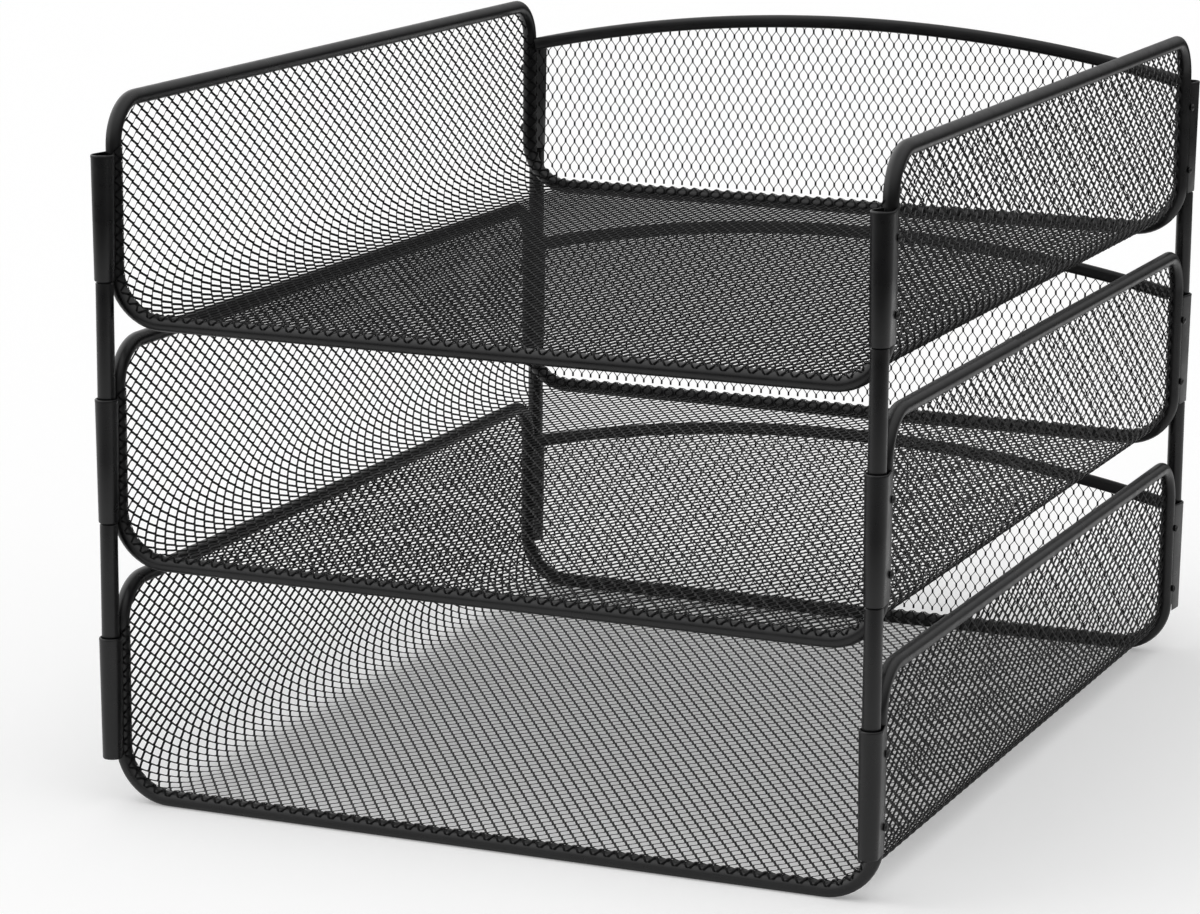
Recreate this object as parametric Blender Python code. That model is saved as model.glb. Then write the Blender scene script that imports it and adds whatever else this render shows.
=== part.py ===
"""Three stacking letter trays: wire frames, bent mesh sheets, clip sleeves and stacking posts.

Metres, +Z up, front towards -Y, origin at the centre of the footprint on the desk.
"""
import math

import bpy
import bmesh

# Driving dimensions of one tray, measured between wire centres
FRAME_WIDTH = 0.225
FRAME_DEPTH = 0.281
RAIL_HEIGHT = 0.0628
TIER_PITCH = 0.068
TIERS = ("bottom", "middle", "top")

# Frame wire
WIRE_RADIUS = 0.00225
WIRE_SIDES = 12
BOTTOM_BEND = 0.0145
TOP_BEND = 0.012
BEND_STEPS = 6

# Mesh sheet and back panel
GAP = 0.0003
SHEET = 0.0008
BAND_WIDTH = 0.0041
BAND_DEPTH = 0.0024
ARCH_CROWN = 0.0642
ARCH_RISE = 0.013
ARCH_STEPS = 16
MESH_OVERLAP = 0.0026

# Coarse grid of bars and openings that stands for the fine mesh
GRID_BAR = 0.003
WALL_OPENINGS = 2
FLOOR_OPENINGS = 6
DEPTH_OPENINGS = 6
PANEL_OPENINGS = (8, 3)

# Clip sleeve: a tapered oblong tube that holds the post in front and hugs the frame wire behind
SLEEVE_BOTTOM = 0.0141
SLEEVE_TOP = 0.0491
SLEEVE_OFFSET = 0.0062
TUBE_OUTER = (0.00280, 0.00330)
TUBE_BORE = (0.00220, 0.00300)
SADDLE_WALL = 0.0005
TUBE_SIDES = 20
SADDLE_STEPS = 12

# Stacking post with a spigot at its upper end
POST_RADIUS = 0.0025
SPIGOT_RADIUS = 0.0019
POST_INSERT = 0.012
SPIGOT_LENGTH = 0.012
END_CHAMFER = 0.0006
POST_SIDES = 20

# The flat of the faceted wire lies on the desk
WIRE_CENTRE_Z = WIRE_RADIUS * math.cos(math.pi / WIRE_SIDES)
HALF_WIDTH = FRAME_WIDTH / 2
HALF_DEPTH = FRAME_DEPTH / 2
PANEL_HALF = HALF_WIDTH - WIRE_RADIUS - 2 * GAP - SHEET
CORNERS = {
    "front_left": (-1, -1),
    "front_right": (1, -1),
    "rear_left": (-1, 1),
    "rear_right": (1, 1),
}


def clear_scene():
    for old in list(bpy.data.objects):
        bpy.data.objects.remove(old, do_unlink=True)


def coat(name, colour, roughness, metallic):
    material = bpy.data.materials.new(name)
    material.use_nodes = True
    shader = material.node_tree.nodes["Principled BSDF"]
    shader.inputs["Base Color"].default_value = (*colour, 1.0)
    shader.inputs["Roughness"].default_value = roughness
    shader.inputs["Metallic"].default_value = metallic
    return material


def finish_mesh(name, bm, smooth):
    bmesh.ops.recalc_face_normals(bm, faces=bm.faces[:])
    mesh = bpy.data.meshes.new(name)
    bm.to_mesh(mesh)
    bm.free()
    if smooth:
        mesh.shade_smooth()
        mesh.set_sharp_from_angle(angle=math.radians(40))
    return mesh


def place(name, mesh, material, parent, location=(0.0, 0.0, 0.0), turn=0.0):
    piece = bpy.data.objects.new(name, mesh)
    if not mesh.materials:
        mesh.materials.append(material)
    piece.material_slots[0].link = "OBJECT"
    piece.material_slots[0].material = material
    piece.parent = parent
    piece.location = location
    piece.rotation_euler = (0.0, 0.0, turn)
    bpy.context.scene.collection.objects.link(piece)
    return piece


def holder(name, location):
    empty = bpy.data.objects.new(name, None)
    empty.location = location
    bpy.context.scene.collection.objects.link(empty)
    return empty


def close_rings(bm, rings, cyclic):
    """Joins equal rings of vertices with quads, round each ring and along them."""
    count = len(rings)
    for i in range(count if cyclic else count - 1):
        ring, after = rings[i], rings[(i + 1) % count]
        for k in range(len(ring)):
            j = (k + 1) % len(ring)
            bm.faces.new((ring[k], ring[j], after[j], after[k]))


# Frame wire: one closed loop with a U at each end and two top rails
def u_bend_stations(y, out):
    """Left to right through a U in the plane y: points, inward normal and outward normal."""
    stations = []
    for side, start in ((-1, 180), (1, 270)):
        cx = side * (HALF_WIDTH - BOTTOM_BEND)
        cz = WIRE_CENTRE_Z + BOTTOM_BEND
        for k in range(BEND_STEPS + 1):
            a = math.radians(start + 90 * k / BEND_STEPS)
            point = (cx + BOTTOM_BEND * math.cos(a), y, cz + BOTTOM_BEND * math.sin(a))
            stations.append((point, (-math.cos(a), 0, -math.sin(a)), (0, out, 0)))
    return stations


def rail_stations(side):
    """Front to back along one top rail, with a bend down at each end."""
    stations = []
    cz = RAIL_HEIGHT - TOP_BEND
    for end, start in ((-1, 180), (1, 90)):
        cy = end * (HALF_DEPTH - TOP_BEND)
        for k in range(BEND_STEPS + 1):
            a = math.radians(start - 90 * k / BEND_STEPS)
            point = (side * HALF_WIDTH, cy + TOP_BEND * math.cos(a), cz + TOP_BEND * math.sin(a))
            stations.append((point, (-side, 0, 0), (0, math.cos(a), math.sin(a))))
    return stations


def frame_wire_mesh():
    path = rail_stations(-1)
    path += u_bend_stations(HALF_DEPTH, 1)
    path += list(reversed(rail_stations(1)))
    path += list(reversed(u_bend_stations(-HALF_DEPTH, -1)))
    bm = bmesh.new()
    rings = []
    for point, inward, outward in path:
        ring = []
        for k in range(WIRE_SIDES):
            a = 2 * math.pi * (k + 0.5) / WIRE_SIDES
            c, s = WIRE_RADIUS * math.cos(a), WIRE_RADIUS * math.sin(a)
            ring.append(bm.verts.new([point[i] + c * inward[i] + s * outward[i] for i in range(3)]))
        rings.append(ring)
    close_rings(bm, rings, cyclic=True)
    return finish_mesh("frame_wire", bm, smooth=True)


# Mesh sheet: left wall, floor and right wall bent from one sheet, inside the wire
def bar_edges(start, end, openings):
    """Edges of evenly spaced bars from start to end, each with whether a bar follows it."""
    bar = math.copysign(GRID_BAR, end - start)
    pitch = (end - start - bar) / openings
    edges = []
    for k in range(openings + 1):
        edges.append((start + k * pitch, True))
        edges.append((start + k * pitch + bar, False))
    return edges


def grid_mesh(name, across, along, spot, smooth):
    """A thin sheet with a plain grid of openings; across and along tell which strips are bars."""
    bm = bmesh.new()
    corners = {}

    def corner(i, j, face):
        if (i, j, face) not in corners:
            corners[i, j, face] = bm.verts.new(spot(i, j, face))
        return corners[i, j, face]

    def solid(i, j):
        inside = 0 <= i < len(across) and 0 <= j < len(along)
        return inside and (across[i] or along[j])

    for i in range(len(across)):
        for j in range(len(along)):
            if not solid(i, j):
                continue
            around = ((i, j), (i + 1, j), (i + 1, j + 1), (i, j + 1))
            beside = ((i, j - 1), (i + 1, j), (i, j + 1), (i - 1, j))
            for face in (0, 1):
                bm.faces.new([corner(*at, face) for at in around])
            for k in range(4):
                if not solid(*beside[k]):
                    here, after = around[k], around[(k + 1) % 4]
                    bm.faces.new((corner(*here, 0), corner(*after, 0), corner(*after, 1), corner(*here, 1)))
    return finish_mesh(name, bm, smooth)


def sheet_profile(inset):
    """Across the U from the left top edge to the right one, offset inwards by inset, and its bars."""
    wall_x = HALF_WIDTH - WIRE_RADIUS - GAP - inset
    floor_z = 2 * WIRE_CENTRE_Z + GAP + inset
    bend = BOTTOM_BEND - WIRE_RADIUS - GAP - inset
    wall = bar_edges(RAIL_HEIGHT, floor_z + bend, WALL_OPENINGS)
    wall.insert(2, (RAIL_HEIGHT - TOP_BEND, False))
    left = [(-wall_x, z) for z, bar in wall]
    for k in range(1, BEND_STEPS):
        a = math.radians(180 + 90 * k / BEND_STEPS)
        left.append((-wall_x + bend + bend * math.cos(a), floor_z + bend + bend * math.sin(a)))
    floor = bar_edges(bend - wall_x, wall_x - bend, FLOOR_OPENINGS)
    points = left + [(x, floor_z) for x, bar in floor] + [(-x, z) for x, z in reversed(left)]
    side_bars = [bar for z, bar in wall] + [False] * (BEND_STEPS - 1)
    bars = side_bars + [bar for x, bar in floor[:-1]] + side_bars[::-1]
    return points, bars


def sheet_half_depth(z):
    """The sheet's edge follows the wire, so it draws in round the top corners."""
    over = max(0.0, z - (RAIL_HEIGHT - TOP_BEND))
    draw_in = TOP_BEND - math.sqrt(max(0.0, TOP_BEND ** 2 - over ** 2))
    return HALF_DEPTH - GAP - draw_in


def mesh_sheet_mesh():
    outer, across = sheet_profile(0.0)
    inner, across = sheet_profile(SHEET)
    rows = bar_edges(-HALF_DEPTH, HALF_DEPTH, DEPTH_OPENINGS)

    def spot(i, j, face):
        x, z = (outer, inner)[face][i]
        return x, sheet_half_depth(outer[i][1]) * rows[j][0] / HALF_DEPTH, z

    return grid_mesh("mesh_sheet", across, [bar for y, bar in rows[:-1]], spot, smooth=True)


# Back panel: an arched strip from one rear upright to the other, with its mesh behind it
def arch_height(x):
    arch_radius = (HALF_WIDTH ** 2 + ARCH_RISE ** 2) / (2 * ARCH_RISE)
    return ARCH_CROWN - arch_radius + math.sqrt(arch_radius ** 2 - x ** 2)


def back_arch_mesh():
    front = HALF_DEPTH - BAND_DEPTH / 2
    back = HALF_DEPTH + BAND_DEPTH / 2
    bm = bmesh.new()
    rings = []
    for k in range(ARCH_STEPS + 1):
        x = PANEL_HALF - 2 * PANEL_HALF * k / ARCH_STEPS
        top = arch_height(x)
        low = top - BAND_WIDTH
        section = ((front, top), (back, top), (back, low), (front, low))
        rings.append([bm.verts.new((x, y, z)) for y, z in section])
    close_rings(bm, rings, cyclic=False)
    for ring in (rings[0], rings[-1]):
        bm.faces.new(ring)
    return finish_mesh("back_arch", bm, smooth=False)


def back_mesh_mesh():
    """From the arch down to the rear wire, with the wire's rounded bottom corners."""
    front = HALF_DEPTH + BAND_DEPTH / 2 + GAP
    low = 2 * WIRE_CENTRE_Z
    bend = BOTTOM_BEND - (HALF_WIDTH - PANEL_HALF)
    columns = bar_edges(-PANEL_HALF, PANEL_HALF, PANEL_OPENINGS[0])
    columns.insert(2, (bend - PANEL_HALF, False))
    columns.insert(-2, (PANEL_HALF - bend, False))
    rows = bar_edges(0.0, ARCH_CROWN - low, PANEL_OPENINGS[1])

    def spot(i, j, face):
        x = columns[i][0]
        over = max(0.0, abs(x) - (PANEL_HALF - bend))
        bottom = low + bend - math.sqrt(max(0.0, bend ** 2 - over ** 2))
        share = rows[j][0] / (ARCH_CROWN - low)
        top = arch_height(x) - (BAND_WIDTH - MESH_OVERLAP)
        return x, front + face * SHEET, bottom + (top - bottom) * share

    across = [bar for x, bar in columns[:-1]]
    return grid_mesh("back_mesh", across, [bar for z, bar in rows[:-1]], spot, smooth=False)


# Clip sleeve, drawn round its post's axis with the wire on its +Y side
def sleeve_level(bm, z, outer_radius, bore_radius):
    """Vertices of one end: the outline from the right side round the front to the wire, and the bore."""
    turn = 2 * math.pi / TUBE_SIDES
    inner = WIRE_RADIUS + GAP
    outline = []
    for k in range(TUBE_SIDES // 2 + 1):
        a = math.pi / 2 + k * turn
        outline.append((outer_radius * math.sin(a), outer_radius * math.cos(a)))
    outline.append((-inner - SADDLE_WALL, SLEEVE_OFFSET))
    for k in range(SADDLE_STEPS + 1):
        a = math.pi * k / SADDLE_STEPS - math.pi / 2
        outline.append((inner * math.sin(a), SLEEVE_OFFSET - inner * math.cos(a)))
    outline.append((inner + SADDLE_WALL, SLEEVE_OFFSET))
    bore = []
    for k in range(TUBE_SIDES):
        a = math.pi / 2 + k * turn
        bore.append((bore_radius * math.sin(a), bore_radius * math.cos(a)))
    return [[bm.verts.new((x, y, z)) for x, y in loop] for loop in (outline, bore)]


def sleeve_mesh():
    bm = bmesh.new()
    ends = []
    for z, outer_radius, bore_radius in zip((SLEEVE_BOTTOM, SLEEVE_TOP), TUBE_OUTER, TUBE_BORE):
        ends.append(sleeve_level(bm, z, outer_radius, bore_radius))
    half = TUBE_SIDES // 2
    for outline, bore in ends:
        for k in range(half):
            bm.faces.new((outline[k], outline[k + 1], bore[k + 1], bore[k]))
        bm.faces.new(outline[half:] + outline[:1] + bore[:1] + bore[:half - 1:-1])
    (low_outline, low_bore), (top_outline, top_bore) = ends
    close_rings(bm, [low_outline, top_outline], cyclic=False)
    close_rings(bm, [low_bore, top_bore], cyclic=False)
    bmesh.ops.triangulate(bm, faces=[face for face in bm.faces if len(face.verts) > 4])
    return finish_mesh("clip_sleeve", bm, smooth=True)


# Stacking post, drawn with its shoulder at z = 0
def post_mesh():
    body = TIER_PITCH - (SLEEVE_TOP - SLEEVE_BOTTOM) + POST_INSERT - GAP
    profile = (
        (POST_RADIUS - END_CHAMFER, -body),
        (POST_RADIUS, -body + END_CHAMFER),
        (POST_RADIUS, 0.0),
        (SPIGOT_RADIUS, 0.0),
        (SPIGOT_RADIUS, SPIGOT_LENGTH - END_CHAMFER),
        (SPIGOT_RADIUS - END_CHAMFER, SPIGOT_LENGTH),
    )
    bm = bmesh.new()
    rings = []
    for radius, z in profile:
        angles = [2 * math.pi * k / POST_SIDES for k in range(POST_SIDES)]
        rings.append([bm.verts.new((radius * math.cos(a), radius * math.sin(a), z)) for a in angles])
    close_rings(bm, rings, cyclic=False)
    for ring in (rings[0], rings[-1]):
        bm.faces.new(ring)
    return finish_mesh("stacking_post", bm, smooth=True)


def build():
    clear_scene()
    black = (0.022, 0.022, 0.024)
    wire, sheet, arch, panel = frame_wire_mesh(), mesh_sheet_mesh(), back_arch_mesh(), back_mesh_mesh()
    sleeve, post = sleeve_mesh(), post_mesh()
    for level, tier in enumerate(TIERS):
        base = level * TIER_PITCH
        tray = holder(f"{tier}_tray", (0.0, 0.0, base))
        fixed = ((f"{tier}_frame_wire", wire, 0.34), (f"{tier}_mesh_tray", sheet, 0.45),
                 (f"{tier}_back_frame", arch, 0.36), (f"{tier}_back_mesh", panel, 0.45))
        for name, mesh, roughness in fixed:
            place(name, mesh, coat(name, black, roughness, 0.0), tray)
        for corner, (side, end) in CORNERS.items():
            axis = (side * HALF_WIDTH, end * (HALF_DEPTH + SLEEVE_OFFSET), 0.0)
            turn = 0.0 if end < 0 else math.pi
            name = f"{tier}_{corner}_sleeve"
            place(name, sleeve, coat(name, black, 0.38, 0.0), tray, axis, turn)
    for level, set_name in enumerate(("lower", "upper")):
        shoulder = (level + 1) * TIER_PITCH + SLEEVE_BOTTOM - GAP
        posts = holder(f"{set_name}_posts", (0.0, 0.0, shoulder))
        for corner, (side, end) in CORNERS.items():
            axis = (side * HALF_WIDTH, end * (HALF_DEPTH + SLEEVE_OFFSET), 0.0)
            name = f"{set_name}_{corner}_post"
            place(name, post, coat(name, black, 0.32, 0.0), posts, axis)


build()
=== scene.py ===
import math

import bmesh
import bpy
import numpy as np
from mathutils import Matrix, Vector


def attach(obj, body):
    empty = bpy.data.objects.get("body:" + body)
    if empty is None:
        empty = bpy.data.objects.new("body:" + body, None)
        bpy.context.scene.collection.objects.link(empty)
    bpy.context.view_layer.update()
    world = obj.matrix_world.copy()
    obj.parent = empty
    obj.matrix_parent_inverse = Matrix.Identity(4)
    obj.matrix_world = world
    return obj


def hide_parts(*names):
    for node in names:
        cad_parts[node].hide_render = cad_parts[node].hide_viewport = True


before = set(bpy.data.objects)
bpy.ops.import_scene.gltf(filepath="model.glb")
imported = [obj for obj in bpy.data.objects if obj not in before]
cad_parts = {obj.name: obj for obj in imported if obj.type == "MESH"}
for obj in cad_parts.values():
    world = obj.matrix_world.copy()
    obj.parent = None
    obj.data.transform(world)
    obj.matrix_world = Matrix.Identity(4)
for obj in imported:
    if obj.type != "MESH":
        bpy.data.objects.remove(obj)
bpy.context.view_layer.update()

# Frame wires. Each tray has one closed loop of round steel wire, bent to a U at the front and at
# the rear with a straight rail along each side, and butt-welded to close it. The coat is
# satin black powder, baked on, with a faint orange peel.
tier_pitch = 0.068
tiers = {"bottom": 0.0, "middle": tier_pitch, "top": 2 * tier_pitch}
half_width = 0.1125
half_depth = 0.1405
rail_height = 0.0628
wire_radius = 0.002173
bottom_bend = 0.0145
top_bend = 0.012
bend_steps = 14
wire_sides = 28
weld_place = -0.034
weld_height = 0.00022
weld_profile = ((-0.0016, 0.0), (-0.0009, 0.6), (0.0, 1.0), (0.0009, 0.6), (0.0016, 0.0))
crease_angle = math.radians(38)
cloud_scale = 55.0
smear_scale = 240.0
peel_scale = 2600.0
peel_depth = 0.00008
wire_black = ((0.0032, 0.0032, 0.0035), (0.0060, 0.0060, 0.0064))


def powder_coat(name, low, high, shine, peel, gleam=0.5):
    """Satin black powder coat: cloudy tone, uneven gloss and orange peel, all in object space."""
    coat = bpy.data.materials.new(name)
    coat.use_nodes = True
    nodes, links = coat.node_tree.nodes, coat.node_tree.links
    shader = nodes["Principled BSDF"]
    place = nodes.new("ShaderNodeTexCoord")

    cloud = nodes.new("ShaderNodeTexNoise")
    cloud.inputs["Scale"].default_value = cloud_scale
    cloud.inputs["Detail"].default_value = 4.0
    links.new(place.outputs["Object"], cloud.inputs["Vector"])
    tone = nodes.new("ShaderNodeValToRGB")
    tone.color_ramp.elements[0].position = 0.30
    tone.color_ramp.elements[0].color = (*low, 1.0)
    tone.color_ramp.elements[1].position = 0.72
    tone.color_ramp.elements[1].color = (*high, 1.0)
    links.new(cloud.outputs["Fac"], tone.inputs["Fac"])
    links.new(tone.outputs["Color"], shader.inputs["Base Color"])

    smear = nodes.new("ShaderNodeTexNoise")
    smear.inputs["Scale"].default_value = smear_scale
    smear.inputs["Detail"].default_value = 3.0
    links.new(place.outputs["Object"], smear.inputs["Vector"])
    gloss = nodes.new("ShaderNodeMapRange")
    gloss.inputs["From Min"].default_value = 0.30
    gloss.inputs["From Max"].default_value = 0.70
    gloss.inputs["To Min"].default_value = shine - 0.05
    gloss.inputs["To Max"].default_value = shine + 0.07
    links.new(smear.outputs["Fac"], gloss.inputs["Value"])
    links.new(gloss.outputs["Result"], shader.inputs["Roughness"])

    grains = nodes.new("ShaderNodeTexNoise")
    grains.inputs["Scale"].default_value = peel_scale
    grains.inputs["Detail"].default_value = 2.0
    links.new(place.outputs["Object"], grains.inputs["Vector"])
    bump = nodes.new("ShaderNodeBump")
    bump.inputs["Strength"].default_value = peel
    bump.inputs["Distance"].default_value = peel_depth
    links.new(grains.outputs["Fac"], bump.inputs["Height"])
    links.new(bump.outputs["Normal"], shader.inputs["Normal"])
    shader.inputs["Specular IOR Level"].default_value = gleam
    return coat


def skin(name, rings, closed, caps):
    """A closed mesh through equal rings of points, smooth across its shallow edges."""
    bm = bmesh.new()
    rows = [[bm.verts.new(point) for point in ring] for ring in rings]
    for i in range(len(rows) if closed else len(rows) - 1):
        row, after = rows[i], rows[(i + 1) % len(rows)]
        for k in range(len(row)):
            j = (k + 1) % len(row)
            bm.faces.new((row[k], row[j], after[j], after[k]))
    if caps:
        bm.faces.new(rows[0])
        bm.faces.new(rows[-1])
    bmesh.ops.recalc_face_normals(bm, faces=bm.faces[:])
    mesh = bpy.data.meshes.new(name)
    bm.to_mesh(mesh)
    bm.free()
    mesh.shade_smooth()
    mesh.set_sharp_from_angle(angle=crease_angle)
    return mesh


def show(name, mesh, place, coat, body, slot, *nodes, turn=0.0):
    """Puts one piece in place on its body, instead of the CAD nodes that it stands for."""
    piece = bpy.data.objects.new(name, mesh)
    if not mesh.materials:
        mesh.materials.append(coat)
    piece.location = place
    piece.rotation_euler = (0.0, 0.0, turn)
    bpy.context.scene.collection.objects.link(piece)
    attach(piece, body)
    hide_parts(*nodes)
    return piece


def u_bend(y, out):
    """Left to right through one U: points with their inward and outward directions."""
    way = []
    for side, start in ((-1, 180), (1, 270)):
        for k in range(bend_steps + 1):
            a = math.radians(start + 90 * k / bend_steps)
            x = side * (half_width - bottom_bend) + bottom_bend * math.cos(a)
            z = wire_radius + bottom_bend + bottom_bend * math.sin(a)
            way.append(((x, y, z), (-math.cos(a), 0, -math.sin(a)), (0, out, 0), 1.0))
    return way


def rail(side, weld):
    """Front to back along one rail with its two bends, and the butt weld where there is one."""
    way = []
    for end, start in ((-1, 180), (1, 90)):
        for k in range(bend_steps + 1):
            a = math.radians(start - 90 * k / bend_steps)
            y = end * (half_depth - top_bend) + top_bend * math.cos(a)
            z = rail_height - top_bend + top_bend * math.sin(a)
            outward = (0, math.cos(a), math.sin(a))
            way.append(((side * half_width, y, z), (-side, 0, 0), outward, 1.0))
        if end < 0 and weld is not None:
            for step, swell in weld_profile:
                spot = (side * half_width, weld + step, rail_height)
                way.append((spot, (-side, 0, 0), (0, 0, 1), 1.0 + swell * weld_height / wire_radius))
    return way


def bent_wire(weld):
    """The whole loop: left rail, rear U, right rail and front U."""
    way = rail(-1, None) + u_bend(half_depth, 1)
    way += list(reversed(rail(1, weld))) + list(reversed(u_bend(-half_depth, -1)))
    rings = []
    for point, inward, outward, grown in way:
        ring = []
        for k in range(wire_sides):
            a = 2 * math.pi * k / wire_sides
            c, s = wire_radius * grown * math.cos(a), wire_radius * grown * math.sin(a)
            ring.append([point[i] + c * inward[i] + s * outward[i] for i in range(3)])
        rings.append(ring)
    return skin("frame_wire", rings, closed=True, caps=False)


wire_coat = powder_coat("frame_wire_coat", *wire_black, shine=0.31, peel=0.2)
for tier, base in tiers.items():
    node = f"{tier}_frame_wire"
    loop = bent_wire(weld_place if tier == "middle" else None)
    show(f"{tier}_wire", loop, (0, 0, base), wire_coat, f"{tier}_tray", "frame_wire", node)

# Mesh trays. One sheet of thin steel is slit and stretched into diamonds, and bent up at both sides
# along the wire's middle line. Its front and rear rims wrap over the wire, and its side edges are
# welded in under the rails. The strips between slits lean a little differently in each tray.
short_way = 0.00395
long_way = 0.0058
strand = 0.00068
strand_thick = 0.0002
strand_lean = {"bottom": -15, "middle": 10, "top": 29}
bond_length = 0.0008
sheet_offset = 0.0002
rim_stand = 0.0004
rim_radius = wire_radius + rim_stand
rim_wrap = 0.0069
rim_press = 0.4
rail_seat = 0.0012
mesh_black = ((0.0030, 0.0030, 0.0033), (0.0055, 0.0055, 0.0060))


def zigzag_strips(across, along, pitch, length, width, thick, lean, bond):
    """Corner points of the strips of a stretched sheet, flat: strip by station by corner, as u, v, n."""
    half, rise = width / 2 * math.cos(lean), width / 2 * math.sin(lean)
    swing = pitch / 4 - half
    strips = np.arange(math.ceil(across[0] / (pitch / 2)), math.floor(across[1] / (pitch / 2)) + 1)
    bonds = np.arange(math.ceil(along[0] / (length / 2)), math.floor(along[1] / (length / 2)) + 1)
    v = (bonds[:, None] * length / 2 + np.array([-bond / 2, bond / 2])).ravel()
    leaning = np.where(bonds % 2 == 0, 1.0, -1.0).repeat(2)
    sign = leaning[None, :] * np.where(strips % 2 == 0, 1.0, -1.0)[:, None]
    u = strips[:, None] * pitch / 2 + sign * swing
    n = sign * rise
    tu, tn = thick / 2 * math.sin(lean), thick / 2 * math.cos(lean)
    points = np.empty((len(strips), len(v), 4, 3))
    for k, (du, dn) in enumerate((
        (-half + tu, rise + tn), (-half - tu, rise - tn), (half - tu, -rise - tn), (half + tu, -rise + tn),
    )):
        points[:, :, k, 0] = u + du
        points[:, :, k, 1] = v[None, :]
        points[:, :, k, 2] = n + dn
    return points


def strip_mesh(name, points, kept):
    """A mesh of the strips' kept runs, each a closed bar, with a map that lays every side out flat."""
    count, stations = kept.shape
    number = -np.ones((count, stations), dtype=np.int64)
    number[kept] = np.arange(kept.sum()) * 4
    joined = kept[:, :-1] & kept[:, 1:]
    strip, station = np.nonzero(joined)
    here, after = number[strip, station], number[strip, station + 1]
    map_edge, map_run, map_low, map_high, map_end = 0.01, 0.98, 0.1, 0.9, 0.0005
    faces, maps = [], []
    for k in range(4):
        j = (k + 1) % 4
        faces.append(np.stack([here + k, after + k, after + j, here + j], axis=1))
        x0 = (k + map_edge + map_run * station / (stations - 1)) / 4
        x1 = (k + map_edge + map_run * (station + 1) / (stations - 1)) / 4
        y0, y1 = (strip + map_low) / count, (strip + map_high) / count
        maps.append(np.stack([x0, y0, x1, y0, x1, y1, x0, y1], axis=1).reshape(-1, 4, 2))
    starts = kept & ~np.pad(kept, ((0, 0), (1, 0)))[:, :-1]
    ends = kept & ~np.pad(kept, ((0, 0), (0, 1)))[:, 1:]
    for edge, order in ((starts, (0, 1, 2, 3)), (ends, (3, 2, 1, 0))):
        strip, station = np.nonzero(edge)
        first = number[strip, station]
        faces.append(np.stack([first + k for k in order], axis=1))
        x = (0.25 + map_run * station / (stations - 1)) / 4
        y = (strip + 0.5) / count
        square = [x, y, x + map_end, y, x + map_end, y + map_end, x, y + map_end]
        maps.append(np.stack(square, axis=1).reshape(-1, 4, 2))
    faces, maps = np.concatenate(faces), np.concatenate(maps)
    mesh = bpy.data.meshes.new(name)
    spots = points[kept].reshape(-1, 3)
    mesh.vertices.add(len(spots))
    mesh.vertices.foreach_set("co", spots.astype(np.float32).ravel())
    mesh.loops.add(faces.size)
    mesh.loops.foreach_set("vertex_index", faces.astype(np.int32).ravel())
    mesh.polygons.add(len(faces))
    mesh.polygons.foreach_set("loop_start", np.arange(0, faces.size, 4, dtype=np.int32))
    mesh.update(calc_edges=True)
    layout = mesh.uv_layers.new(name="OFBake")
    layout.uv.foreach_set("vector", maps.astype(np.float32).ravel())
    mesh.validate()
    return mesh


floor_half = half_width - bottom_bend
bend_radius = bottom_bend - sheet_offset
bend_length = bend_radius * math.pi / 2
wall_length = rail_height - wire_radius - bottom_bend
sheet_half = floor_half + bend_length + wall_length


def past_wire(u, v):
    """How far a point of the flat sheet lies past the wire's line, and which way is out."""
    qu, qv = np.abs(u) - (sheet_half - top_bend), np.abs(v) - (half_depth - top_bend)
    ou, ov = np.maximum(qu, 0.0), np.maximum(qv, 0.0)
    reach = np.hypot(ou, ov)
    past = reach + np.minimum(np.maximum(qu, qv), 0.0) - top_bend
    safe = np.maximum(reach, 1e-9)
    return past, ou / safe * np.sign(u), ov / safe * np.sign(v)


def wraps_wire(points):
    """Strip by strip, whether its ends meet the straight part of the wire, where the rim wraps."""
    return np.abs(points[..., 0].mean(axis=(1, 2), keepdims=True)) < sheet_half - top_bend


def bend_into_tray(points):
    """From the flat sheet to the tray: bent to the U, with the rims wrapped over the wire."""
    u, v, n = points[..., 0], points[..., 1], points[..., 2]
    past, out_u, out_v = past_wire(u, v)
    wrapped = (past > -rim_radius) & wraps_wire(points)
    reach = np.where(wrapped, past, 0.0)
    u0, v0 = u - reach * out_u, v - reach * out_v
    side, run = np.sign(u0), np.abs(u0)
    turn = np.clip((run - floor_half) / bend_radius, 0.0, math.pi / 2)
    up = np.maximum(run - floor_half - bend_length, 0.0)
    x = side * (np.minimum(run, floor_half) + bottom_bend * np.sin(turn))
    z = wire_radius + bottom_bend * (1 - np.cos(turn)) + up
    roll = (past + rim_radius) / rim_radius
    far = rim_radius + rim_press * n
    inwards = np.where(wrapped, far * np.sin(roll), sheet_offset + n)
    outwards = np.where(wrapped, -far * np.cos(roll), 0.0)
    placed = np.empty_like(points)
    placed[..., 0] = x - inwards * side * np.sin(turn) + outwards * out_u * np.cos(turn)
    placed[..., 1] = v0 + outwards * out_v
    placed[..., 2] = z + inwards * np.cos(turn) + outwards * out_u * side * np.sin(turn)
    return placed


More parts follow.
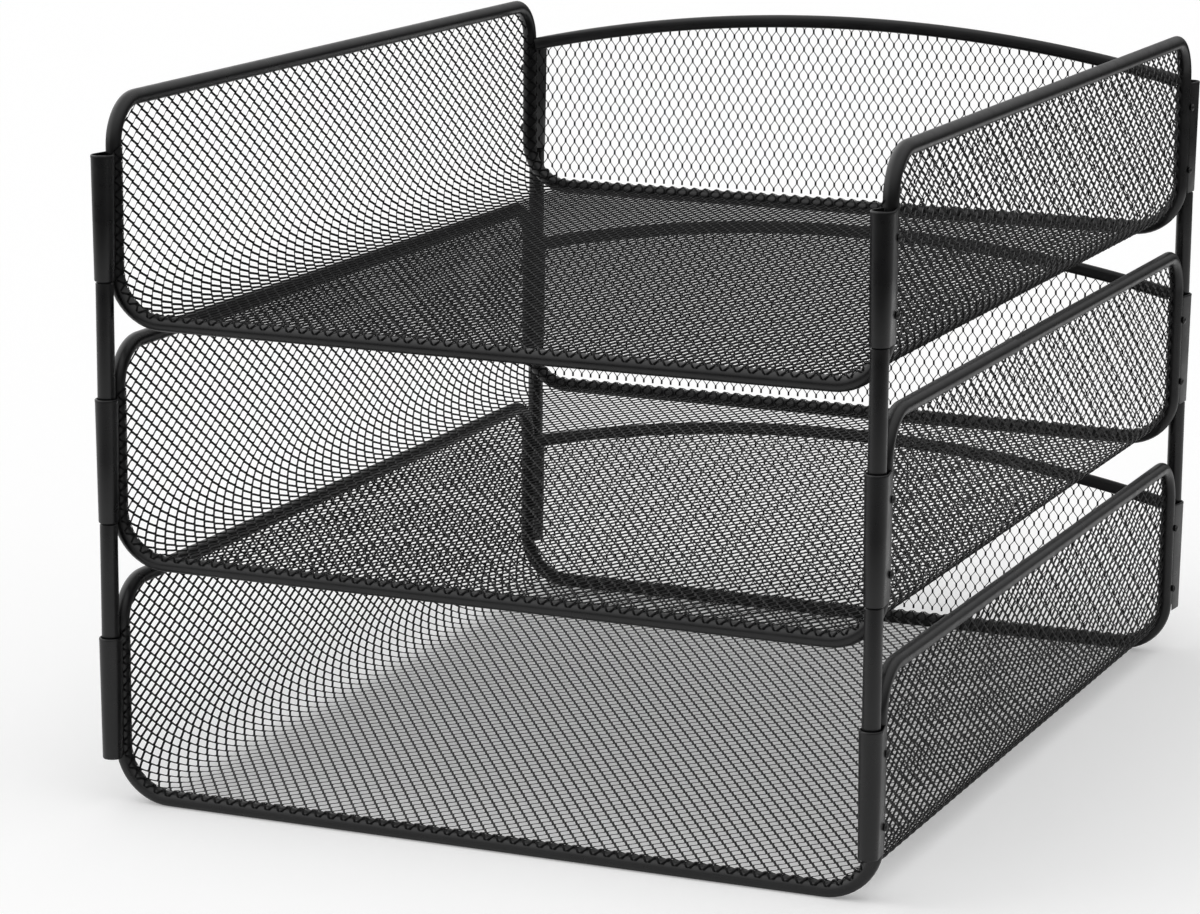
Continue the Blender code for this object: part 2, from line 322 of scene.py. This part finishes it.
mesh_coat = powder_coat("tray_mesh_coat", *mesh_black, shine=0.42, peel=0.25, gleam=0.16)
wall_start = floor_half + 0.5 * bend_length
for tier, base in tiers.items():
    flat_points = zigzag_strips(
        (-sheet_half, sheet_half), (-half_depth - rim_wrap, half_depth + rim_wrap),
        short_way, long_way, strand, strand_thick, math.radians(strand_lean[tier]), bond_length)
    strip_middle = flat_points.mean(axis=2)
    past = past_wire(strip_middle[..., 0], strip_middle[..., 1])[0]
    strip_kept = past + rim_radius < np.where(wraps_wire(flat_points)[..., 0], rim_wrap, rail_seat)
    strip_place = strip_middle[:, :, 0].mean(axis=1)
    tray_points = bend_into_tray(flat_points)
    for part, chosen in (
        ("floor", np.abs(strip_place) < wall_start),
        ("left_wall", strip_place <= -wall_start),
        ("right_wall", strip_place >= wall_start),
    ):
        sheet = strip_mesh(f"{tier}_tray_mesh_{part}", tray_points[chosen], strip_kept[chosen])
        node = f"{tier}_mesh_tray"
        show(f"{tier}_mesh_{part}", sheet, (0, 0, base), mesh_coat, f"{tier}_tray", "tray_mesh", node)

# Back arches. A steel strip with rounded edges arches over the back of each tray from one upright of
# the rear wire to the other. Its ends are welded to the uprights before coating.
band_width = 0.0041
band_depth = 0.0024
band_round = 0.00112
arch_crown = 0.0642
arch_rise = 0.0130
arch_steps = 48
arch_bite = 0.0003
arch_half = half_width - wire_radius + arch_bite
arch_radius = (half_width ** 2 + arch_rise ** 2) / (2 * arch_rise)


def band_section(width, depth, corner):
    """Rounded rectangle, width across and depth along Y, starting at the outer edge."""
    section = []
    for cx, cy, start in ((1, 1, 0), (-1, 1, 90), (-1, -1, 180), (1, -1, 270)):
        for k in range(4):
            a = math.radians(start + 30 * k)
            across = cx * (width / 2 - corner) + corner * math.cos(a)
            section.append((across, cy * (depth / 2 - corner) + corner * math.sin(a)))
    return section


arch_section = band_section(band_width, band_depth, band_round)
arch_rings = []
for k in range(arch_steps + 1):
    x = arch_half * (2 * k / arch_steps - 1)
    lean = math.asin(x / arch_radius)
    out = (math.sin(lean), math.cos(lean))
    top = arch_crown - (arch_radius - math.sqrt(arch_radius ** 2 - x ** 2))
    mid = (x - band_width / 2 * out[0], top - band_width / 2 * out[1])
    arch_rings.append([(mid[0] + a * out[0], half_depth + d, mid[1] + a * out[1]) for a, d in arch_section])
arch_mesh = skin("back_arch", arch_rings, closed=False, caps=True)
back_coat = powder_coat("back_arch_coat", *wire_black, shine=0.33, peel=0.2)
for tier, base in tiers.items():
    node = f"{tier}_back_frame"
    show(f"{tier}_back_arch", arch_mesh, (0, 0, base), back_coat, f"{tier}_tray", "back_frame", node)

# Back meshes. A flat piece of finer stretched sheet hangs behind each arch, turned so that its
# diamonds stand upright, and reaches down to the rear wire. It is spot-welded to the arch and wire.
back_short_way = 0.00325
back_long_way = 0.00585
back_strand = 0.00031
back_thick = 0.00014
back_lean = math.radians(36)
back_bond = 0.0013
back_gap = 0.0005
back_plane = half_depth + band_depth / 2 + back_gap
back_inset = 0.0015
back_hem = 0.0016

upright_points = zigzag_strips(
    (-half_width + back_inset, half_width - back_inset), (wire_radius + back_inset, arch_crown),
    back_short_way, back_long_way, back_strand, back_thick, back_lean, back_bond)
upright_middle = upright_points.mean(axis=2)
px, pz = upright_middle[..., 0], upright_middle[..., 1]
corner_x = np.maximum(np.abs(px) - (half_width - bottom_bend), 0)
corner_z = np.maximum(wire_radius + bottom_bend - pz, 0)
arch_line = arch_crown - (arch_radius - np.sqrt(arch_radius ** 2 - px ** 2))
upright_kept = (np.hypot(corner_x, corner_z) < bottom_bend - back_inset) & (pz < arch_line - back_hem)
panel_points = np.stack(
    [upright_points[..., 0], back_plane - upright_points[..., 2], upright_points[..., 1]], axis=-1)
panel_mesh = strip_mesh("back_mesh", panel_points, upright_kept)
panel_coat = powder_coat("back_mesh_coat", *mesh_black, shine=0.42, peel=0.25, gleam=0.16)
for tier, base in tiers.items():
    node = f"{tier}_back_mesh"
    show(f"{tier}_back_panel", panel_mesh, (0, 0, base), panel_coat, f"{tier}_tray", "tray_mesh", node)

# Corner sleeves. Each is a strip of sheet steel rolled into a slightly tapered tube for a post. One
# end runs on flat along the outside of the frame wire, and the other closes on the wire beside the
# mesh. Two weld beads tack the outer edge to the wire.
sleeve_bottom = 0.0141
sleeve_top = 0.0491
sleeve_offset = 0.0062
tube_low = 0.00280
tube_high = 0.00325
tube_start = -84
tube_sweep = 224
tube_steps = 24
strip_wall = 0.00042
outer_reach = 0.00275
outer_end = math.radians(60)
edge_end = math.radians(76)
edge_reach = wire_radius + 0.00006
inner_reach = wire_radius + 0.00040
inner_end = math.radians(34)
bead_places = (0.21, 0.78)
bead_size = (0.0007, 0.0012, 0.0011)
bead_sides = 12
bead_rings = 8
rim_profile = ((0.0, -0.00012), (0.006, 0.0), (0.5, 0.0), (0.97, 0.0), (0.985, 0.00006),
               (0.994, 0.00004), (1.0, -0.00014))


def sleeve_path(tube, trim):
    """Section of the strip from its outer edge round the tube to its inner edge, trimmed inwards."""
    far = outer_reach - trim
    path = [(-edge_reach * math.sin(edge_end), sleeve_offset - edge_reach * math.cos(edge_end)),
            (-far * math.sin(outer_end), sleeve_offset - far * math.cos(outer_end))]
    for k in range(tube_steps + 1):
        a = math.radians(tube_start - tube_sweep * k / tube_steps)
        path.append(((tube - trim) * math.sin(a), (tube - trim) * math.cos(a)))
    path.append((inner_reach * math.sin(inner_end) - trim,
                 sleeve_offset - inner_reach * math.cos(inner_end)))
    return path


def add_weld_bead(bm, spot):
    """A ball squashed to the bead's size, ring by ring from its upper pole to its lower one."""
    rings = []
    for i in range(bead_rings + 1):
        tilt = math.pi * i / bead_rings
        turns = [2 * math.pi * k / bead_sides for k in range(bead_sides if 0 < i < bead_rings else 1)]
        ring = [(math.sin(tilt) * math.cos(a), math.sin(tilt) * math.sin(a), math.cos(tilt)) for a in turns]
        rings.append([bm.verts.new(spot + Vector(bead_size) * Vector(point)) for point in ring])
    (upper,), (lower,) = rings[0], rings[-1]
    for k in range(bead_sides):
        j = (k + 1) % bead_sides
        bm.faces.new((upper, rings[1][k], rings[1][j]))
        for ring, after in zip(rings[1:-2], rings[2:-1]):
            bm.faces.new((ring[k], after[k], after[j], ring[j]))
        bm.faces.new((lower, rings[-2][j], rings[-2][k]))


def sleeve_mesh_of(levels, side):
    """Skins the levels into one rolled strip that thins out at its outer edge, with two weld beads."""
    bm = bmesh.new()
    rows = []
    for z, tube, grown in levels:
        outside = [bm.verts.new((-side * x, y, z)) for x, y in sleeve_path(tube, -grown)]
        inside = [bm.verts.new((-side * x, y, z)) for x, y in sleeve_path(tube, strip_wall)[1:]]
        rows.append((outside, outside[:1] + inside))
    count = len(rows[0][0])
    for (low, low_in), (high, high_in) in zip(rows, rows[1:]):
        for k in range(count - 1):
            bm.faces.new((low[k], low[k + 1], high[k + 1], high[k]))
            bm.faces.new((low_in[k], low_in[k + 1], high_in[k + 1], high_in[k]))
        bm.faces.new((low[-1], low_in[-1], high_in[-1], high[-1]))
    for outside, inside in (rows[0], rows[-1]):
        bm.faces.new((outside[0], outside[1], inside[1]))
        for k in range(1, count - 1):
            bm.faces.new((outside[k], outside[k + 1], inside[k + 1], inside[k]))
    bmesh.ops.recalc_face_normals(bm, faces=bm.faces[:])
    bead_x = side * outer_reach * math.sin(edge_end)
    bead_y = sleeve_offset - outer_reach * math.cos(edge_end)
    for share in bead_places:
        bead_z = sleeve_bottom + share * (sleeve_top - sleeve_bottom)
        add_weld_bead(bm, Vector((bead_x, bead_y, bead_z)))
    mesh = bpy.data.meshes.new("rolled_sleeve")
    bm.to_mesh(mesh)
    bm.free()
    mesh.shade_smooth()
    mesh.set_sharp_from_angle(angle=crease_angle)
    return mesh


sleeve_levels = []
for share, rim in rim_profile:
    tube = tube_low + (tube_high - tube_low) * share
    sleeve_levels.append((sleeve_bottom + share * (sleeve_top - sleeve_bottom), tube, rim))
sleeve_meshes = {side: sleeve_mesh_of(sleeve_levels, side) for side in (-1, 1)}
sleeve_coat = powder_coat("sleeve_coat", *wire_black, shine=0.30, peel=0.2)
corners = {"front_left": (-1, -1), "front_right": (1, -1), "rear_left": (-1, 1), "rear_right": (1, 1)}
for tier, base in tiers.items():
    for corner, (side, end) in corners.items():
        node = f"{tier}_{corner}_sleeve"
        spot = (side * half_width, end * (half_depth + sleeve_offset), base)
        clip = sleeve_meshes[-side * end]
        show(f"{tier}_{corner}_clip", clip, spot, sleeve_coat, f"{tier}_tray", "sleeve", node,
             turn=0.0 if end < 0 else math.pi)

# Stacking posts. Loose round steel pins between one tray's sleeves and the next tray's, turned
# down at the upper end to a spigot with a shoulder that carries the tray above.
post_radius = 0.0025
spigot_radius = 0.0019
post_insert = 0.012
spigot_length = 0.012
post_chamfer = 0.0006
shoulder_edge = 0.0003
shoulder_gap = 0.0003
post_sides = 32

post_body = tier_pitch - (sleeve_top - sleeve_bottom) + post_insert - shoulder_gap
post_rings = []
for radius, z in (
    (post_radius - post_chamfer, -post_body),
    (post_radius - post_chamfer / 3, -post_body + post_chamfer / 2),
    (post_radius, -post_body + post_chamfer),
    (post_radius, -shoulder_edge),
    (post_radius - shoulder_edge, 0.0),
    (spigot_radius + shoulder_edge / 3, 0.0),
    (spigot_radius, shoulder_edge * 2 / 3),
    (spigot_radius, spigot_length - post_chamfer),
    (spigot_radius - post_chamfer, spigot_length),
):
    turns = [2 * math.pi * k / post_sides for k in range(post_sides)]
    post_rings.append([(radius * math.cos(a), radius * math.sin(a), z) for a in turns])
post_mesh = skin("stacking_post", post_rings, closed=False, caps=True)
post_coat = powder_coat("post_coat", *wire_black, shine=0.30, peel=0.2)
for level, post_set in enumerate(("lower", "upper")):
    shoulder = (level + 1) * tier_pitch + sleeve_bottom - shoulder_gap
    for corner, (side, end) in corners.items():
        node = f"{post_set}_{corner}_post"
        spot = (side * half_width, end * (half_depth + sleeve_offset), shoulder)
        show(f"{post_set}_{corner}_pin", post_mesh, spot, post_coat, f"{post_set}_posts", "post", node)

# Studio. A pale floor reads as white to the camera and keeps the soft shadow. In reflections it shows
# a painted pool of light round the tray and painted shade further out. The surround is white to the
# camera, and in reflections bright overhead and on the left. Two very wide soft lamps light it: one
# overhead and a weaker one from the left front.
floor_size = 6.0
floor_grey = (0.80, 0.80, 0.80, 1.0)
floor_lift = 0.24
# Painted shade: the dark grey that reflections see on the floor outside a painted pool of light round the
# tray.
floor_painted_shade = (0.06, 0.06, 0.06, 1.0)
painted_pool_stretch = (0.6, 1.0, 1.0)
painted_pool_shift = (0.2, -0.2, 0.0)
painted_pool_near = 0.5
painted_pool_far = 0.85
plain_white = (1.0, 1.0, 1.0, 1.0)
horizon_strength = 0.10
window_strength = 0.9
surround_strength = 0.45
lamp_height = 2.0

floor_bm = bmesh.new()
bmesh.ops.create_grid(floor_bm, x_segments=1, y_segments=1, size=floor_size)
floor_mesh = bpy.data.meshes.new("studio_floor")
floor_bm.to_mesh(floor_mesh)
floor_bm.free()
studio_floor = bpy.data.objects.new("studio_floor", floor_mesh)
bpy.context.scene.collection.objects.link(studio_floor)
floor_paint = bpy.data.materials.new("studio_floor_paint")
floor_paint.use_nodes = True
floor_nodes, floor_links = floor_paint.node_tree.nodes, floor_paint.node_tree.links
floor_nodes.clear()
floor_out = floor_nodes.new("ShaderNodeOutputMaterial")
matt = floor_nodes.new("ShaderNodeBsdfDiffuse")
matt.inputs["Color"].default_value = floor_grey
lift = floor_nodes.new("ShaderNodeEmission")
lift.inputs["Color"].default_value = plain_white
seen = floor_nodes.new("ShaderNodeLightPath")
glow = floor_nodes.new("ShaderNodeMath")
glow.operation = "MULTIPLY"
glow.inputs[1].default_value = floor_lift
floor_links.new(seen.outputs["Is Camera Ray"], glow.inputs[0])
floor_links.new(glow.outputs["Value"], lift.inputs["Strength"])
both = floor_nodes.new("ShaderNodeAddShader")
floor_links.new(matt.outputs["BSDF"], both.inputs[0])
floor_links.new(lift.outputs["Emission"], both.inputs[1])
# Painted shade on the floor, for glossy rays only, mixed in outside the painted pool of light.
painted_floor_shade_bsdf = floor_nodes.new("ShaderNodeBsdfDiffuse")
painted_floor_shade_bsdf.inputs["Color"].default_value = floor_painted_shade
floor_spot = floor_nodes.new("ShaderNodeTexCoord")
away = floor_nodes.new("ShaderNodeVectorMath")
away.operation = "LENGTH"
wide = floor_nodes.new("ShaderNodeVectorMath")
wide.operation = "MULTIPLY_ADD"
wide.inputs[1].default_value = painted_pool_stretch
wide.inputs[2].default_value = painted_pool_shift
floor_links.new(floor_spot.outputs["Object"], wide.inputs[0])
floor_links.new(wide.outputs["Vector"], away.inputs[0])
fade = floor_nodes.new("ShaderNodeMapRange")
fade.inputs["From Min"].default_value = painted_pool_near
fade.inputs["From Max"].default_value = painted_pool_far
floor_links.new(away.outputs["Value"], fade.inputs["Value"])
painted_shade_mask = floor_nodes.new("ShaderNodeMath")
painted_shade_mask.operation = "MULTIPLY"
floor_links.new(fade.outputs["Result"], painted_shade_mask.inputs[0])
floor_links.new(seen.outputs["Is Glossy Ray"], painted_shade_mask.inputs[1])
finish = floor_nodes.new("ShaderNodeMixShader")
floor_links.new(painted_shade_mask.outputs["Value"], finish.inputs["Fac"])
floor_links.new(both.outputs["Shader"], finish.inputs[1])
floor_links.new(painted_floor_shade_bsdf.outputs["BSDF"], finish.inputs[2])
floor_links.new(finish.outputs["Shader"], floor_out.inputs["Surface"])
floor_mesh.materials.append(floor_paint)

surround = bpy.data.worlds.new("studio_surround")
bpy.context.scene.world = surround
surround.use_nodes = True
sky_nodes, sky_links = surround.node_tree.nodes, surround.node_tree.links
sky_nodes.clear()
sky_out = sky_nodes.new("ShaderNodeOutputWorld")
white = sky_nodes.new("ShaderNodeBackground")
white.inputs["Color"].default_value = plain_white
white.inputs["Strength"].default_value = 1.0
dim = sky_nodes.new("ShaderNodeBackground")
dim.inputs["Color"].default_value = plain_white
dim.inputs["Strength"].default_value = surround_strength
dome = sky_nodes.new("ShaderNodeBackground")
dome.inputs["Color"].default_value = plain_white
sky_way = sky_nodes.new("ShaderNodeTexCoord")
sky_parts = sky_nodes.new("ShaderNodeSeparateXYZ")
sky_links.new(sky_way.outputs["Generated"], sky_parts.inputs["Vector"])
rise = sky_nodes.new("ShaderNodeMapRange")
rise.inputs["From Min"].default_value = 0.0
rise.inputs["From Max"].default_value = 0.8
rise.inputs["To Min"].default_value = horizon_strength
rise.inputs["To Max"].default_value = 1.0
sky_links.new(sky_parts.outputs["Z"], rise.inputs["Value"])
window = sky_nodes.new("ShaderNodeMapRange")
window.inputs["From Min"].default_value = -0.2
window.inputs["From Max"].default_value = -0.7
window.inputs["To Max"].default_value = window_strength
sky_links.new(sky_parts.outputs["X"], window.inputs["Value"])
bright = sky_nodes.new("ShaderNodeMath")
sky_links.new(rise.outputs["Result"], bright.inputs[0])
sky_links.new(window.outputs["Result"], bright.inputs[1])
sky_links.new(bright.outputs["Value"], dome.inputs["Strength"])
rays = sky_nodes.new("ShaderNodeLightPath")
glossy = sky_nodes.new("ShaderNodeMixShader")
sky_links.new(rays.outputs["Is Glossy Ray"], glossy.inputs["Fac"])
sky_links.new(dim.outputs["Background"], glossy.inputs[1])
sky_links.new(dome.outputs["Background"], glossy.inputs[2])
which = sky_nodes.new("ShaderNodeMixShader")
sky_links.new(rays.outputs["Is Camera Ray"], which.inputs["Fac"])
sky_links.new(glossy.outputs["Shader"], which.inputs[1])
sky_links.new(white.outputs["Background"], which.inputs[2])
sky_links.new(which.outputs["Shader"], sky_out.inputs["Surface"])

for name, aim, angle, strength in (
    ("overhead", (0.10, 0.25, -1.0), 75.0, 1.35),
    ("left_window", (0.9, 0.55, -0.55), 50.0, 0.55),
):
    lamp = bpy.data.lights.new(name, "SUN")
    lamp.angle = math.radians(angle)
    lamp.energy = strength
    holder = bpy.data.objects.new(name, lamp)
    holder.location = (0.0, 0.0, lamp_height)
    holder.rotation_euler = Vector(aim).to_track_quat("-Z", "Y").to_euler()
    holder.visible_glossy = False
    bpy.context.scene.collection.objects.link(holder)

# Camera. Stands a little above the rails, to the right of the open front, with a long lens.
azimuth, elevation, roll = math.radians(22.909), math.radians(12.281), math.radians(0.469)
camera_place = (0.4519, -1.1318, 0.3471)
focal_length = 124.94
sensor_width = 36.0

backward = Vector((
    math.sin(azimuth) * math.cos(elevation), -math.cos(azimuth) * math.cos(elevation), math.sin(elevation)))
level = Vector((0, 0, 1)).cross(backward).normalized()
upright = backward.cross(level)
right = level * math.cos(roll) + upright * math.sin(roll)
top = upright * math.cos(roll) - level * math.sin(roll)
lens = bpy.data.cameras.new("camera")
lens.sensor_fit = "HORIZONTAL"
lens.sensor_width = sensor_width
lens.lens = focal_length
lens.clip_start = 0.05
lens.clip_end = 50.0
camera = bpy.data.objects.new("camera", lens)
turned = Matrix((right, top, backward)).transposed().to_4x4()
camera.matrix_world = Matrix.Translation(camera_place) @ turned
bpy.context.scene.collection.objects.link(camera)
bpy.context.scene.camera = camera
bpy.context.scene.view_settings.view_transform = "Standard"
